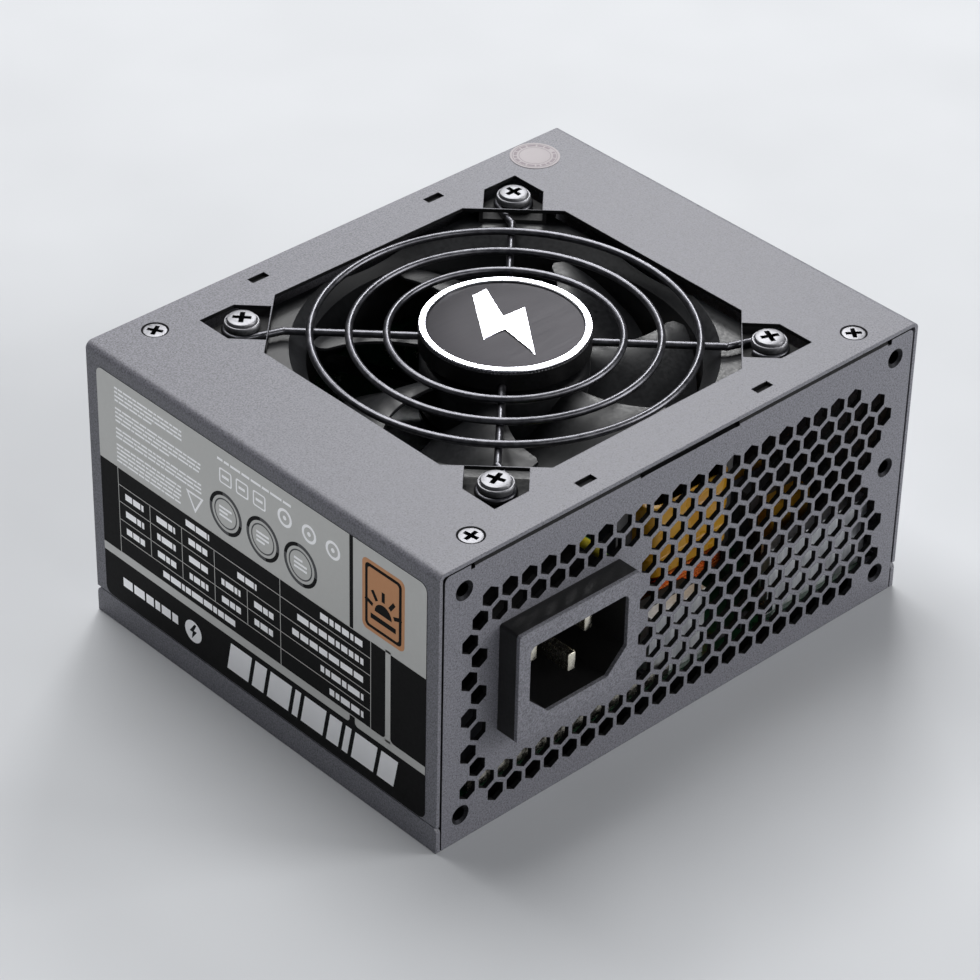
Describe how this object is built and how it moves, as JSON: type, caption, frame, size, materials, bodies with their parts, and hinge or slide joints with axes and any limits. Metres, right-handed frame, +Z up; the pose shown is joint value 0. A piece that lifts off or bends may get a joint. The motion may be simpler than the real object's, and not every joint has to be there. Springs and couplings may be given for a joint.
{
  "type": "power supply unit",
  "caption": "Small-format computer power supply: sheet metal case, fan under a wire guard, honeycomb-vented rear with a mains inlet, modular output sockets opposite.",
  "frame": {"origin": "centre of the casing's bottom face", "axes": "+Z up, fan on top; the vented panel with the mains inlet faces -Y, the output sockets face +Y, the rating label faces -X"},
  "size_m": [0.1252, 0.1058, 0.0654],
  "materials": {
    "grey_powder_coat": "fine textured powder coat",
    "nickel_screw": "nickel plated",
    "label_film": "printed polyester label",
    "seal_paper": "brittle seal sticker",
    "guard_wire": "black gloss coated wire",
    "black_abs": "satin moulded",
    "bright_rim": "bright cut",
    "badge_face": "dark brushed",
    "fan_plastic": "satin moulded",
    "bearing_bronze": "sintered",
    "circuit_board": "solder mask",
    "core_steel": "laminated",
    "enamelled_copper": "enamelled wire",
    "ferrite": "sintered ferrite",
    "bright_steel": "ground",
    "nylon": "moulded",
    "fan_lead_pvc": "extruded",
    "brown_pvc": "extruded",
    "blue_pvc": "extruded",
    "green_yellow_pvc": "extruded",
    "tinned_contact": "tinned",
    "insulating_sheet": "thin film",
    "brass_post": "turned",
    "yellow_case": "moulded box",
    "blue_epoxy": "dipped",
    "fuse_ceramic": "ceramic tube with caps",
    "aluminium_plate": "bare plate",
    "black_epoxy": "moulded package",
    "capacitor_sleeve": "shrunk sleeve",
    "yellow_tape": "polyester tape",
    "socket_nylon": "moulded nylon"
  },
  "bodies": {
    "casing": {"base_tray": "grey_powder_coat", "rear_panel": "grey_powder_coat", "output_panel": "grey_powder_coat", "top_cover": "grey_powder_coat", "inlet_face_plate": "grey_powder_coat", "cover_screws": "nickel_screw", "guard_screws": "nickel_screw", "board_screws": "nickel_screw", "earth_stud": "nickel_screw", "rating_label": "label_film", "seal_sticker": "seal_paper", "fan_guard": "guard_wire", "badge_body": "black_abs", "inlet_housing": "black_abs", "badge_rim": "bright_rim", "badge_emblem": "bright_rim", "badge_plate": "badge_face", "fan_frame": "fan_plastic", "fan_bearing": "bearing_bronze", "fan_circuit_board": "circuit_board", "main_board": "circuit_board", "control_board": "circuit_board", "socket_board": "circuit_board", "stator_core": "core_steel", "stator_coils": "enamelled_copper", "filter_choke_winding": "enamelled_copper", "choke_winding": "enamelled_copper", "output_choke": "enamelled_copper", "filter_choke_core": "ferrite", "choke_core": "ferrite", "transformer_core": "ferrite", "fan_lead": "fan_lead_pvc", "line_wire": "brown_pvc", "neutral_wire": "blue_pvc", "earth_wire": "green_yellow_pvc", "inlet_pins": "tinned_contact", "socket_contacts": "tinned_contact", "insulating_film": "insulating_sheet", "board_posts": "brass_post", "filter_capacitor": "yellow_case", "disc_capacitors": "blue_epoxy", "fuse": "fuse_ceramic", "rectifier_heat_sink": "aluminium_plate", "transistor_heat_sink": "aluminium_plate", "output_heat_sink": "aluminium_plate", "bridge_rectifier": "black_epoxy", "power_transistors": "black_epoxy", "output_rectifiers": "black_epoxy", "bulk_capacitor": "capacitor_sleeve", "output_capacitors": "capacitor_sleeve", "transformer_winding": "yellow_tape", "standby_transformer": "yellow_tape", "main_sockets": "socket_nylon", "power_sockets": "socket_nylon", "drive_sockets": "socket_nylon"},
    "rotor": {"fan_impeller": "fan_plastic", "rotor_yoke": "core_steel", "rotor_magnet": "ferrite", "rotor_shaft": "bright_steel", "shaft_clip": "nylon"}
  },
  "joints": [
    {"name": "fan_spin", "type": "hinge", "parent": "casing", "child": "rotor", "pos_m": [0, 0, 0.052], "axis": [0, 0, 1], "continuous": true}
  ]
}
